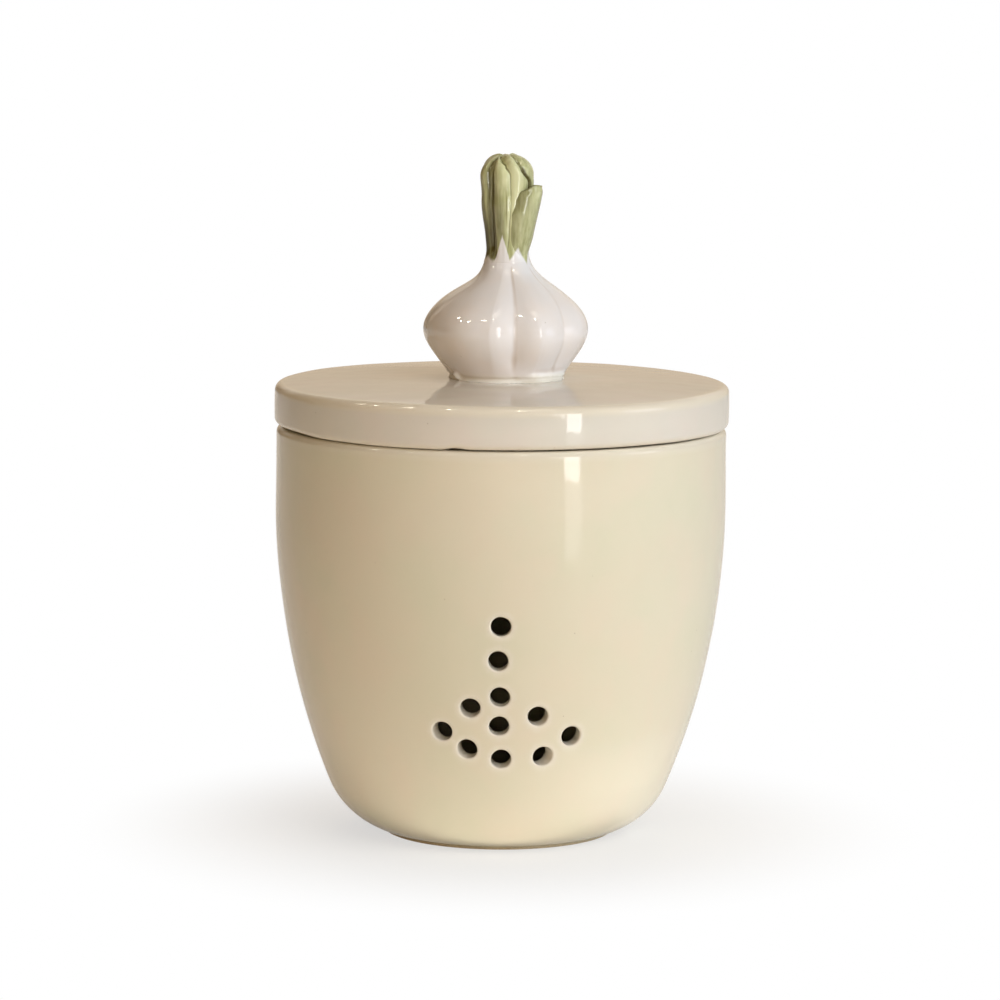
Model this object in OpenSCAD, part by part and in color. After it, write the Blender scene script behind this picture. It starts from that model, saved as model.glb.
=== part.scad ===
// Garlic keeper: a vented earthenware jar, a loose lid that seats in its mouth,
// and a knob shaped as a garlic bulb with its cut leaves, stuck on the lid with slip.
// Millimetres, +Z up, the vents face -Y. The origin is the middle of the foot, on the table.

/* [Jar] */
// Outer diameter of the upright band below the rim
jar_d = 127.6; // [118:0.1:140]
// Height of the rim above the table
jar_h = 115.9; // [104:0.1:128]
// Height of the upright band, from the belly's curve up to the rim
band_h = 22.6; // [16:0.1:32]
// Thickness of the wall
wall_t = 5; // [4:0.5:7]
// Thickness of the floor, above the foot's recess
floor_t = 5; // [4:0.5:8]
// Radius of the belly's long curve, seen in section
belly_r = 211; // [185:1:300]
// Radius of the heel, where the belly turns under
heel_r = 23; // [17:1:28]
// Rounding of the rim's outer edge
rim_r = 1.8; // [1:0.1:2.2]
// Rounding of the rim's inner edge
lip_r = 1.2; // [0.6:0.1:1.6]

/* [Foot] */
// Outer diameter of the foot ring
foot_d = 66; // [60:1:72]
// Width of the foot ring
foot_w = 5; // [3:0.5:8]
// Depth of the recess inside the foot ring
foot_h = 1.4; // [0.8:0.1:3]

/* [Vents] */
// Diameter of each drilled vent
vent_d = 5.5; // [4:0.5:7]
// Height of the lowest vent above the table
vents_z = 29.8; // [26:0.1:44]

/* [Lid] */
// How far the lid's plate reaches past the jar's side, all round
lid_overhang = 0.7; // [0:0.1:4]
// Height of the plate's side, from the rim up to the top edge
lid_side_h = 12.2; // [9:0.1:16]
// Rise of the lid's top, from its edge to its middle
lid_dome_h = 1.5; // [0.5:0.1:6]
// Rounding of the plate's top edge
lid_top_r = 2.5; // [1:0.1:4]
// Rounding of the plate's lower edge
lid_under_r = 1.7; // [0.8:0.1:2.4]
// Thickness of the plate over its recess
lid_plate_t = 6.5; // [4:0.5:8]
// Height of the locating flange below the plate
flange_h = 9; // [5:0.5:14]
// Thickness of the locating flange
flange_t = 4.5; // [3:0.5:7]
// Clearance between the flange and the mouth, all round
flange_gap = 1.5; // [1:0.1:2.5]

/* [Garlic bulb] */
// How far the knob stands to the right of the lid's axis
knob_x = 1.3; // [0:0.1:4]
// Diameter of the bulb at its widest
bulb_d = 47.2; // [40:0.1:54]
// Height of the widest level above the bulb's seat
bulb_belly_h = 14; // [11:0.5:17]
// Diameter of the bulb's flat base
bulb_base_d = 32; // [26:0.5:36]
// Height of the bulb, from its seat to its neck
bulb_h = 33; // [28:0.5:38]
// Diameter of the neck
neck_d = 13.2; // [11:0.1:15]
// Depth of the grooves between the cloves
clove_groove = 1.3; // [0.5:0.1:2]

/* [Leaves] */
// Height of the leaf bundle above the neck
stalk_h = 30.8; // [24:0.1:38]
// Diameter of the leaf bundle near its top
stalk_top_d = 14.8; // [13:0.1:18]
// Depth of the grooves between the blades
blade_groove = 1.0; // [0.4:0.1:1.6]
// Height of the side leaf's tip above the neck
leaf_h = 20.9; // [15:0.1:23]
// Thickness of the side leaf
leaf_t = 1.6; // [1:0.1:2]
// How far the outside of the side leaf's tip stands off its bed
leaf_off = 3.6; // [2:0.1:4.5]

/* [Hidden] */

$fn = 96;

jar_r = jar_d / 2;
foot_r = foot_d / 2;
mouth_r = jar_r - wall_t;
floor_z = foot_h + floor_t;
belly_z = jar_h - band_h;

lid_r = jar_r + lid_overhang;
flange_r = mouth_r - flange_gap;
recess_r = flange_r - flange_t;
lid_edge_z = jar_h + lid_side_h;
seat_z = lid_edge_z + lid_dome_h;
recess_z = seat_z - lid_plate_t;
flange_z = jar_h - flange_h;

bulb_r = bulb_d / 2;
base_r = bulb_base_d / 2;
neck_r = neck_d / 2;
neck_z = seat_z + bulb_h;

// The knob's seat is a flat disc that reaches past the bulb's base
seat_margin = 1;
seat_r = base_r + knob_x + seat_margin;

// The vents, as [distance round the wall from the front line, height above the lowest vent].
// They are drilled by eye, so no two steps between them are the same.
vents = [
    [0.3, 38.1], [-0.4, 28.4], [0.2, 18.1], [0, 9.7], [0.7, 0],
    [-8.8, 14.8], [11.9, 12.5],
    [-18, 7.7], [23.2, 6.3],
    [-10.2, 2.8], [14.4, 0.7]
];

// The grooves between the cloves, as [degrees from the front towards the right, share of the full depth]
clove_grooves = [
    [-42, 0.4], [6, 1], [40, 0.85], [77, 0.9], [116, 1], [157, 0.9], [200, 1], [241, 0.9], [281, 0.9]
];
// Half the width of such a groove, in degrees
clove_half = 17;
// The skins wind this many degrees to the right between the shoulder and the neck
clove_twist = 14;

// The grooves between the leaf blades, as the cloves' grooves are given
blade_grooves = [[-44, 1], [8, 0.8], [62, 0.9], [118, 1], [178, 0.9], [236, 1]];
blade_half = 22;

// ---------- helpers ----------

// Points on an arc about [x, y], from angle a0 to a1, in n steps. first = 1 leaves the first point out.
function arc(x, y, r, a0, a1, n, first = 0) =
    [for (i = [first : n]) let (a = a0 + (a1 - a0) * i / n) [x + r * cos(a), y + r * sin(a)]];

// A point on the cubic curve with the four control points p
function curve(p, t) =
    pow(1 - t, 3) * p[0] + 3 * pow(1 - t, 2) * t * p[1] + 3 * (1 - t) * t * t * p[2] + pow(t, 3) * p[3];

function mix(a, b, t) = a + (b - a) * t;
function clamp(t) = max(0, min(1, t));
function smooth(t) = let (u = clamp(t)) u * u * (3 - 2 * u);

// Difference of two angles, from -180 to 180
function turn(a, b) = let (d = (a - b) % 360) d > 180 ? d - 360 : (d <= -180 ? d + 360 : d);

// How deep the grooves cut at angle a: 0 on a lobe's crown, each groove's share in its valley.
// half is half the width of a valley, in degrees.
function valley(grooves, a, half) =
    max([for (g = grooves) g[1] * pow(clamp(1 - abs(turn(a, g[0])) / half), 1.6)]);

// A point at angle a from the front towards the right, at radius r and height z
function around(a, r, z) = [r * sin(a), -r * cos(a), z];

// The side faces of m rings with n points each, every ring counterclockwise seen from above, lowest first
function side_faces(m, n) = [
    for (i = [0 : m - 2], j = [0 : n - 1])
    let (a = i * n + j, b = i * n + (j + 1) % n)
    each [[a, b + n, b], [a, a + n, b + n]]
];

// A closed skin over such rings, with a flat face at each end
module loft(rings) {
    n = len(rings[0]);
    m = len(rings);
    bottom = [for (j = [0 : n - 1]) j];
    top = [for (j = [n - 1 : -1 : 0]) (m - 1) * n + j];
    polyhedron(points = [for (r = rings) each r], faces = concat([bottom], side_faces(m, n), [top]));
}

// ---------- jar ----------

// The wall's section from the rim down to the heel's lowest point. The belly's arc is tangent to the
// upright band, and the heel's arc is tangent to the belly's and to the level z0.
function wall_section(top_r, r1, r2, z0) =
    let (
        rise = belly_z - r2 - z0,
        taper = asin(rise / (r1 - r2)),
        heel_x = top_r - r1 + (r1 - r2) * cos(taper)
    )
    concat(
        arc(top_r - r1, belly_z, r1, 0, -taper, 14),
        arc(heel_x, z0 + r2, r2, -taper, -90, 16, first = 1)
    );

outer_wall = wall_section(jar_r, belly_r, heel_r, 0);
inner_wall = wall_section(mouth_r, belly_r - wall_t, heel_r - wall_t, floor_z);

module jar_section() {
    polygon(concat(
        arc(jar_r - rim_r, jar_h - rim_r, rim_r, 90, 0, 6),
        outer_wall,
        [[0, 0], [0, floor_z]],
        [for (i = [len(inner_wall) - 1 : -1 : 0]) inner_wall[i]],
        arc(mouth_r + lip_r, jar_h - lip_r, lip_r, 180, 90, 5)
    ));
}

module jar() {
    color("#e4dbc2")
    difference() {
        union() {
            rotate_extrude() jar_section();
            cylinder(r = foot_r, h = foot_h);
        }
        translate([0, 0, -1]) cylinder(r = foot_r - foot_w, h = foot_h + 1);
        for (v = vents)
            rotate([0, 0, v[0] / jar_r * 180 / PI])
            translate([0, 0, vents_z + v[1]])
            rotate([90, 0, 0])
            cylinder(d = vent_d, h = jar_r + 1);
    }
}

// ---------- lid ----------

module lid_section() {
    dome_steps = 10;
    flange_round = 1;
    recess_round = 2;
    edge_r = lid_r - lid_top_r;
    dome = [
        for (i = [0 : dome_steps - 1])
        let (t = i / dome_steps)
        [mix(seat_r, edge_r, t), seat_z - lid_dome_h * t * t]
    ];
    polygon(concat(
        [[0, recess_z], [0, seat_z]],
        dome,
        arc(edge_r, lid_edge_z - lid_top_r, lid_top_r, 90, 0, 8),
        arc(lid_r - lid_under_r, jar_h + lid_under_r, lid_under_r, 0, -90, 6),
        [[flange_r, jar_h]],
        arc(flange_r - flange_round, flange_z + flange_round, flange_round, 0, -90, 4),
        arc(recess_r + flange_round, flange_z + flange_round, flange_round, -90, -180, 4),
        arc(recess_r - recess_round, recess_z - recess_round, recess_round, 0, 90, 5)
    ));
}

module lid() {
    color("#e0d8ca") rotate_extrude() lid_section();
}

// ---------- knob ----------

// The shoulder's place between the neck and the belly: share of the way out, and of the way up
shoulder_out = 0.31;
shoulder_up = 0.7;
shoulder = [mix(neck_r, bulb_r, shoulder_out), mix(bulb_belly_h, bulb_h, shoulder_up)];
// Control points as [radius, height]: from the base out to the belly, over the shoulder, in to the neck
bulb_curves = [
    [[base_r, 0], [base_r + 1, 0.25 * bulb_belly_h], [bulb_r, 0.66 * bulb_belly_h], [bulb_r, bulb_belly_h]],
    [[bulb_r, bulb_belly_h], [bulb_r, bulb_belly_h + 5.8], shoulder + [5, -3.6], shoulder],
    [shoulder, shoulder + [-3.2, 2.3], [neck_r, bulb_h - 1.8], [neck_r, bulb_h]]
];

// The bulb's radius is cut by the grooves, which fade out at the base and the neck
function bulb_point(p, a) =
    let (
        winding = clove_twist * smooth((p[1] - bulb_belly_h) / (bulb_h - bulb_belly_h)),
        fade = smooth((p[1] - 1) / 9) * mix(0.15, 1, (p[0] - neck_r) / (bulb_r - neck_r)),
        cut = clove_groove * fade * valley(clove_grooves, a - winding, clove_half)
    )
    around(a, p[0] - cut, seat_z + p[1]);

module garlic_bulb() {
    steps = 9;
    sides = 90;
    outline = concat(
        [bulb_curves[0][0]],
        [for (c = bulb_curves, i = [1 : steps]) curve(c, i / steps)]
    );
    color("#e6dfd8")
    translate([knob_x, 0, 0])
    loft([for (p = outline) [for (j = [0 : sides - 1]) bulb_point(p, 360 * j / sides)]]);
}

// The bundle widens upwards from a small step inside the neck's edge, leans by a negative number to
// the left, and rounds over at the top. s runs from 0 at the neck to 1 at the tip, the rounding starts
// at stalk_round, and stalk_tip is the share of the girth that is left as a flat at the very top.
stalk_step = 0.2;
stalk_lean = -0.5;
stalk_round = 0.75;
stalk_tip = 0.06;
stalk_dome_h = 0.18 * stalk_h;
stalk_side_h = stalk_h - stalk_dome_h;

// The side leaf wraps the bundle's right side between these angles, and grows out of a bed in it
leaf_a0 = 12;
leaf_a1 = 118;
leaf_bed = 0.9;
leaf_foot_h = 0.8;
leaf_edge_t = 0.4;
leaf_gap = 0.15;

function stalk_level(s) =
    s <= stalk_round
    ? stalk_side_h * s / stalk_round
    : stalk_side_h + stalk_dome_h * sin(90 * (s - stalk_round) / (1 - stalk_round));

// The bundle without its grooves
function stalk_girth(h, a) =
    let (in_bed = min(a - leaf_a0 + 10, leaf_a1 + 10 - a) / 10)
    mix(neck_r - stalk_step, stalk_top_d / 2, smooth(h / (0.85 * stalk_h)))
    - leaf_bed * smooth(in_bed) * smooth((leaf_h + 3 - h) / 6);

function leaning(p, h) = p + [stalk_lean * h / stalk_h, 0, 0];

function stalk_point(s, a) =
    let (
        h = stalk_level(s),
        over = clamp((s - stalk_round) / (1 - stalk_round)),
        closing = max(stalk_tip, pow(cos(90 * over), 1.4)),
        r = stalk_girth(h, a) - blade_groove * smooth(h / 6) * valley(blade_grooves, a, blade_half)
    )
    leaning(around(a, r * closing, neck_z + h), h);

module stalk() {
    steps = 24;
    sides = 72;
    color("#a9b07c")
    translate([knob_x, 0, 0])
    loft([for (i = [0 : steps]) [for (j = [0 : sides - 1]) stalk_point(i / steps, 360 * j / sides)]]);
}

// One point of the leaf: u runs from 0 at its front edge to 1 at its rear edge, s from 0 at its foot
// to 1 at its tip, and out is 0 on the side that lies on the bundle and 1 on the bulging side.
function leaf_point(u, s, out) =
    let (
        tip_h = leaf_h - 2.3 * pow(2 * u - 1.15, 2),
        h = mix(leaf_foot_h, tip_h, s),
        a = mix(leaf_a0, leaf_a1, u),
        bulge = pow(sin(180 * clamp(u)), 0.6),
        lean = (leaf_off - leaf_t) * s * s * bulge,
        thick = leaf_edge_t + (leaf_t - leaf_edge_t) * bulge * smooth((h - leaf_foot_h) / 9)
    )
    leaning(around(a, stalk_girth(h, a) + leaf_gap + lean + out * thick, neck_z + h), h);

module side_leaf() {
    across = 20;
    steps = 14;
    n = 2 * (across + 1);
    rings = [
        for (i = [0 : steps])
        concat(
            [for (j = [0 : across]) leaf_point(j / across, i / steps, 1)],
            [for (j = [across : -1 : 0]) leaf_point(j / across, i / steps, 0)]
        )
    ];
    // The ends are strips between the outer and the inner side, because they aren't flat
    foot = [for (j = [0 : across - 1]) each [[j, j + 1, n - 2 - j], [j, n - 2 - j, n - 1 - j]]];
    tip = [for (f = foot) [for (k = [2 : -1 : 0]) steps * n + f[k]]];
    color("#a3aa74")
    translate([knob_x, 0, 0])
    polyhedron(points = [for (r = rings) each r], faces = concat(foot, side_faces(steps + 1, n), tip));
}

jar();
lid();
garlic_bulb();
stalk();
side_leaf();
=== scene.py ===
import math
import random

import bpy
import numpy as np
from mathutils import Matrix, Vector, noise
from mathutils.geometry import delaunay_2d_cdt


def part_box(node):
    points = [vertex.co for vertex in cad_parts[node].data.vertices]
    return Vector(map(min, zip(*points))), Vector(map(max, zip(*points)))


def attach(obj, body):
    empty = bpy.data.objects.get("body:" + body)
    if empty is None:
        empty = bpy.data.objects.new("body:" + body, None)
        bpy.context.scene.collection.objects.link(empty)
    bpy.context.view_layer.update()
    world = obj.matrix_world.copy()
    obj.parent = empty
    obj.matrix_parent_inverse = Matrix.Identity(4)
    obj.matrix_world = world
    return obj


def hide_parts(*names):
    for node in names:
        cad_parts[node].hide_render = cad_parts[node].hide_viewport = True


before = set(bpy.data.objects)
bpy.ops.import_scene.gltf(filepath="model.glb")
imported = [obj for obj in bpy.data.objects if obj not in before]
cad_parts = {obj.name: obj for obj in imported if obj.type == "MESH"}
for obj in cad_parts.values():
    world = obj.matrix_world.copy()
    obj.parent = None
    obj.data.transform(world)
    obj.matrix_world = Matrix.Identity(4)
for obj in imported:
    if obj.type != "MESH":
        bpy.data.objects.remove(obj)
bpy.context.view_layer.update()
rng = random.Random(7)

MM = 0.001


def node_box(node):
    """A node's lowest and highest corner, in mm"""
    return [[c / MM for c in corner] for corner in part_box(node)]


# ---------- sizes ----------

jar_low, jar_high = node_box("jar")
lid_low, lid_high = node_box("lid")
bulb_high = node_box("garlic_bulb")[1]
stalk_high = node_box("stalk")[1]

# The jar's wall: an upright band under the rim, the belly's long arc, and the heel's short one to the foot
JAR_R = (jar_high[0] - jar_low[0]) / 2
RIM_Z = jar_high[2]
RIM_ROUND = 1.8
RIM_ROUND_IN = 1.2
WALL = 5.0
BAND_H = 22.6
BELLY_Z = RIM_Z - BAND_H
BELLY_R = 211.0
HEEL_R = 23.0
HEEL_END = -73.2
FLOOR_Z = 6.4
FOOT_R = 33.0
FOOT_W = 5.0
FOOT_H = 1.4

VENT_R = 2.75
VENTS_Z = 29.8
# Distance round the wall from the front line, height above the lowest vent, and how far the hand-held drill
# ran to the right and up on its way through the wall
VENTS = ((0.3, 38.1, 0, -0.2), (-0.4, 28.4, 0.1, 0.15), (0.2, 18.1, 0.15, 0.2), (0, 9.7, 0, 0.25),
         (0.7, 0, 0, 0.6), (-8.8, 14.8, -0.1, 0.55), (11.9, 12.5, 0, 0.4), (-18, 7.7, 0.2, 0.35),
         (23.2, 6.3, 0.5, 0.35), (-10.2, 2.8, 0.3, 0.5), (14.4, 0.7, -1.0, 0.5))
# The glaze rounds a vent's edges by this much, outside and inside the jar
VENT_EDGE = 0.6
VENT_EDGE_IN = 0.45

# The lid: a plate with a low dome that overhangs the jar, and a flange that drops into its mouth
LID_R = (lid_high[0] - lid_low[0]) / 2
SEAT_Z = lid_high[2]
SEAT_R = 18.3
FLANGE_Z = lid_low[2]
FLANGE_PLAY = 1.5
FLANGE_R = JAR_R - WALL - FLANGE_PLAY
FLANGE_T = 4.5
PLATE_T = 6.5
LID_SIDE_H = 12.2
LID_ROUND = 2.1
LID_ROUND_LOW = 1.7
DOME_H = SEAT_Z - RIM_Z - LID_SIDE_H

# The knob, which was stuck on a little to the right of the middle
KNOB_X = 1.3
BULB_R = 23.6
BULB_BASE_R = 16.0
BULB_BELLY_H = 14.0
NECK_Z = bulb_high[2]
BULB_H = NECK_Z - SEAT_Z
NECK_R = 6.6
STALK_H = stalk_high[2] - NECK_Z


# ---------- curves and numbers ----------

def mix(a, b, t):
    return a + (b - a) * t


def clamp(t, low=0.0, high=1.0):
    return min(max(t, low), high)


def smooth(t):
    t = clamp(t)
    return t * t * (3 - 2 * t)


def turn(a, b):
    """Difference of two angles, from -180 to 180"""
    return (a - b + 180) % 360 - 180


def hump(angle, middle, width):
    """1 at the middle angle, fading to 0 on both sides"""
    return math.exp(-(turn(angle, middle) / width) ** 2)


def around(angle, r, z):
    """The point at an angle from the front, at radius r and height z"""
    a = math.radians(angle)
    return Vector((r * math.sin(a), -r * math.cos(a), z))


def arc(x, y, r, a0, a1, steps, first=0):
    """Points on an arc about (x, y), from angle a0 to a1"""
    angles = [math.radians(mix(a0, a1, i / steps)) for i in range(first, steps + 1)]
    return [(x + r * math.cos(a), y + r * math.sin(a)) for a in angles]


def line(a, b, steps):
    """Points from just after a to b"""
    return [(mix(a[0], b[0], i / steps), mix(a[1], b[1], i / steps)) for i in range(1, steps + 1)]


def bezier(p, steps):
    """Points from just after the first to the last of a cubic curve's four control points"""
    out = []
    for i in range(1, steps + 1):
        t = i / steps
        w = ((1 - t) ** 3, 3 * (1 - t) ** 2 * t, 3 * (1 - t) * t * t, t ** 3)
        out.append(tuple(sum(w[k] * p[k][axis] for k in range(4)) for axis in (0, 1)))
    return out


def read_curve(points, x, closed=None):
    """Smoothly joins (x, value) points. closed is the period of x, where it goes round."""
    if closed:
        x = (x - points[0][0]) % closed + points[0][0]
        points = list(points) + [(points[0][0] + closed, points[0][1])]
    for (x0, v0), (x1, v1) in zip(points, points[1:]):
        if x <= x1:
            return mix(v0, v1, smooth((x - x0) / (x1 - x0)))
    return points[-1][1]


def uneven(point, size, depth, seed=0.0):
    """Soft unevenness of hand-made clay: lumps of about the given size, up to the given depth"""
    return depth * noise.noise(Vector(point) / size + Vector((seed, seed, seed)))


def lumps(point, layers):
    """Unevenness in several layers of (size, depth, seed)"""
    return sum(uneven(point, *layer) for layer in layers)


# ---------- skins ----------

class Skin:
    """The points, faces and named marks of one piece, while it is being built"""

    def __init__(self):
        self.points = []
        self.faces = []
        self.marks = {"thin_and_lit": [], "green": [], "bare": [], "shade": []}

    def add(self, point, thin_and_lit=0.0, green=0.0, bare=0.0, shade=0.0):
        self.points.append(Vector(point))
        for name, value in (("thin_and_lit", thin_and_lit), ("green", green), ("bare", bare), ("shade", shade)):
            self.marks[name].append(value)
        return len(self.points) - 1

    def bridge(self, a, b, skip=()):
        """Faces between two rings. One of them may be a single point, as at the axis."""
        n = max(len(a), len(b))
        for j in range(n):
            if j in skip:
                continue
            k = (j + 1) % n
            corners = [a[j % len(a)], a[k % len(a)], b[k % len(b)], b[j % len(b)]]
            self.faces.append(list(dict.fromkeys(corners)))

    def cover(self, rings):
        """Faces between each ring and the next"""
        for a, b in zip(rings, rings[1:]):
            self.bridge(a, b)


def on_axis(z):
    return 0, 0, z


def revolve(section, columns, place, middle=on_axis):
    """The skin of a section that is turned round the axis. place(angle, r, z) gives a point and its marks,
    and middle(z) a point of the axis."""
    skin = Skin()
    rings = []
    for r, z in section:
        if r == 0:
            rings.append([skin.add(middle(z))])
        else:
            rings.append([skin.add(*place(360 * j / columns, r, z)) for j in range(columns)])
    skin.cover(rings)
    return skin


def hollows(mesh, rounds):
    """How hollow the skin is at each point, in 1/mm: + in grooves, - on ridges. It is averaged over the
    neighbours in this many rounds."""
    count = len(mesh.vertices)
    points = np.empty(count * 3)
    mesh.vertices.foreach_get("co", points)
    points = points.reshape(-1, 3) / MM
    normals = np.array([n.vector for n in mesh.vertex_normals])
    ends = np.empty(len(mesh.edges) * 2, dtype=int)
    mesh.edges.foreach_get("vertices", ends)
    a, b = ends.reshape(-1, 2).T
    step = points[b] - points[a]
    square = np.maximum((step ** 2).sum(1), 1e-6)
    degree = np.bincount(ends, minlength=count)
    bend = np.bincount(a, (step * normals[a]).sum(1) * 2 / square, count)
    bend += np.bincount(b, -(step * normals[b]).sum(1) * 2 / square, count)
    bend /= degree
    for _ in range(rounds):
        bend = (bend + (np.bincount(a, bend[b], count) + np.bincount(b, bend[a], count)) / degree) / 2
    return bend


def make_piece(name, skin, node, body, materials, groove_size=1.0, rounds=6):
    """Makes the mesh object of a skin, in metres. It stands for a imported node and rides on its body. Points
    marked bare take the second material. groove_size is the radius in mm at which a hollow counts in full."""
    mesh = bpy.data.meshes.new(name)
    mesh.from_pydata([p * MM for p in skin.points], [], skin.faces)
    mesh.validate()
    mesh.update()
    mesh.shade_smooth()
    for mark, values in skin.marks.items():
        mesh.attributes.new(mark, "FLOAT", "POINT").data.foreach_set("value", values)
    bend = np.clip(hollows(mesh, rounds) * groove_size, -1, 1)
    mesh.attributes.new("hollow", "FLOAT", "POINT").data.foreach_set("value", bend.astype(np.float32))
    for material in materials:
        mesh.materials.append(material)
    if len(materials) > 1:
        bare = skin.marks["bare"]
        for face in mesh.polygons:
            face.material_index = int(all(bare[v] > 0.5 for v in face.vertices))
    piece = bpy.data.objects.new(name, mesh)
    bpy.context.scene.collection.objects.link(piece)
    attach(piece, body)
    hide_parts(node)
    return piece


# ---------- finishes ----------

# The setting of a range whose ends are soft
SOFT = {"interpolation_type": "SMOOTHSTEP"}


def colour(hex_code):
    """sRGB hex to the linear colour that shaders take"""
    parts = [int(hex_code[i:i + 2], 16) / 255 for i in (1, 3, 5)]
    return tuple(c / 12.92 if c <= 0.04045 else ((c + 0.055) / 1.055) ** 2.4 for c in parts) + (1.0,)


def add(tree, kind, links=(), **settings):
    """Adds a shader node and gives its outputs. links are (socket, value or another node's output) pairs."""
    made = tree.nodes.new("ShaderNode" + kind)
    for name, value in settings.items():
        setattr(made, name, value)
    for socket, value in links:
        if isinstance(value, bpy.types.NodeSocket):
            tree.links.new(value, made.inputs[socket])
        else:
            made.inputs[socket].default_value = value
    return made.outputs


def new_material(name):
    material = bpy.data.materials.new(name)
    material.use_nodes = True
    material.node_tree.nodes.clear()
    return material, material.node_tree


def per_mm(size):
    """The scale of a pattern whose features are this many millimetres apart"""
    return 1 / (size * MM)


def lay_coats(tree, tone, coats):
    """Lays coats of colour over a tone. A coat follows a pattern or a mark: two of its values, the coat's
    share at the first and at the second, and the coat's colour. A share may be a pattern too."""
    for follows, first, second, share_first, share_second, over in coats:
        span = [(0, follows), (1, first), (2, second), (3, share_first), (4, share_second)]
        share = add(tree, "MapRange", span, **SOFT)[0]
        tone = add(tree, "Mix", [(0, share), (6, tone), (7, over)], data_type="RGBA")[2]
    return tone


def leaf_paint(tree, here, hollow, middle, light, dark):
    """Green brushed on upwards under the glaze, washed out on ridges, and dark in clefts, where it gathers
    and where the darkening is also painted shade. The mark "shade" goes from -1, lightest, to 1, darkest,
    where the dark breaks into streaks; it carries painted light and shade as well as the brush's own
    unevenness."""
    drawn = add(tree, "Mapping", [(0, here), ("Scale", (1, 1, 1 / 14))])[0]
    brush = add(tree, "TexNoise", [
        ("Vector", drawn), ("Scale", per_mm(1.1)), ("Detail", 3), ("Roughness", 0.6)])["Fac"]
    wash = add(tree, "TexNoise", [("Vector", here), ("Scale", per_mm(5))])["Fac"]
    streak = add(tree, "MapRange", [(0, brush), (1, 0.25), (2, 0.75), (3, 1.1), (4, 0.85)], **SOFT)[0]
    shade = add(tree, "Attribute", attribute_name="shade")["Fac"]
    return lay_coats(tree, middle, (
        (brush, 0.3, 0.7, 0.1, 0.7, light),
        (wash, 0.5, 0.75, 0, 0.4, light),
        (hollow, -0.1, -0.9, 0, 0.45, light),
        (shade, 0, -1, 0, 1, light),
        (hollow, 0.05, 0.8, 0, 0.5, dark),
        (shade, 0, 1, 0, streak, dark)))


def glazed_earthenware(name, body, cool, warm, edge, pooled_and_shaded, green=()):
    """Slip-cast earthenware under a clear, slightly tinted glaze: a hard mirror gloss over a soft, clouded
    colour. The glaze runs paler on edges, where it lies thinner; on the jar and the knob this mark also
    paints highlights and light. It pools darker in hollows, which also paints their shade. green adds leaf
    paint under
    the glaze: its middle, light and dark colour."""
    material, tree = new_material(name)
    here = add(tree, "TexCoord")["Object"]
    drawn = add(tree, "Mapping", [(0, here), ("Scale", (1, 1, 1 / 1.8))])[0]
    cloud = add(tree, "TexNoise", [("Vector", here), ("Scale", per_mm(26)), ("Detail", 3)])["Fac"]
    patch = add(tree, "TexNoise", [("Vector", drawn), ("Scale", per_mm(9)), ("Detail", 3)])["Fac"]
    hollow = add(tree, "Attribute", attribute_name="hollow")["Fac"]
    tone = lay_coats(tree, colour(cool), (
        (cloud, 0.35, 0.62, 0, 1, colour(warm)),
        (patch, 0.3, 0.7, 0.25, 0.8, colour(body)),
        (hollow, 0.05, 0.8, 0, 0.6, colour(pooled_and_shaded))))
    thin_and_lit = add(tree, "Attribute", attribute_name="thin_and_lit")["Fac"]
    tone = add(tree, "Mix", [(0, thin_and_lit), (6, tone), (7, colour(edge))], data_type="RGBA")[2]
    if green:
        paint = leaf_paint(tree, here, hollow, *(colour(code) for code in green))
        brushed = add(tree, "Attribute", attribute_name="green")["Fac"]
        tone = add(tree, "Mix", [(0, brushed), (6, tone), (7, paint)], data_type="RGBA")[2]
    # Pinholes and iron specks of 0.3 mm, a few to each palm's width
    speck = add(tree, "TexVoronoi", [("Vector", here), ("Scale", per_mm(7))])["Distance"]
    tone = lay_coats(tree, tone, [(speck, 0.018, 0.035, 0.35, 0, colour("#8C7A5E"))])
    # The glaze levels as it melts: low waves of 14 mm, and an orange peel of 1.6 mm that only bends what the
    # gloss mirrors
    sagged = add(tree, "Mapping", [(0, here), ("Scale", (1, 1, 1 / 1.7))])[0]
    waves = add(tree, "TexNoise", [("Vector", sagged), ("Scale", per_mm(14)), ("Detail", 1)])["Fac"]
    peel = add(tree, "TexNoise", [("Vector", here), ("Scale", per_mm(1.6)), ("Detail", 1)])["Fac"]
    swell = add(tree, "Bump", [("Strength", 1.0), ("Distance", 0.085 * MM), ("Height", waves)])[0]
    skin = add(tree, "Bump", [
        ("Strength", 1.0), ("Distance", 0.0025 * MM), ("Height", peel), ("Normal", swell)])[0]
    gloss = add(tree, "MapRange", [(0, patch), (1, 0.3), (2, 0.7), (3, 0.045), (4, 0.085)], **SOFT)[0]
    surface = add(tree, "BsdfPrincipled", [
        ("Base Color", tone), ("Roughness", gloss), ("IOR", 1.5), ("Normal", skin)])[0]
    add(tree, "OutputMaterial", [("Surface", surface)])
    return material


def bare_biscuit(name):
    """Earthenware wiped free of glaze where it stands: a dry, fine-grained buff clay without gloss"""
    material, tree = new_material(name)
    here = add(tree, "TexCoord")["Object"]
    grain = add(tree, "TexNoise", [
        ("Vector", here), ("Scale", per_mm(0.6)), ("Detail", 4), ("Roughness", 0.65)])["Fac"]
    stain = add(tree, "TexNoise", [("Vector", here), ("Scale", per_mm(8))])["Fac"]
    tone = lay_coats(tree, colour("#D5C4A6"), (
        (grain, 0.3, 0.7, 0, 1, colour("#E4D6BC")),
        (stain, 0.5, 0.75, 0, 0.5, colour("#C6B08E"))))
    bump = add(tree, "Bump", [("Strength", 1.0), ("Distance", 0.06 * MM), ("Height", grain)])[0]
    surface = add(tree, "BsdfPrincipled", [
        ("Base Color", tone), ("Roughness", 0.92), ("IOR", 1.5), ("Normal", bump)])[0]
    add(tree, "OutputMaterial", [("Surface", surface)])
    return material


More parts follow.
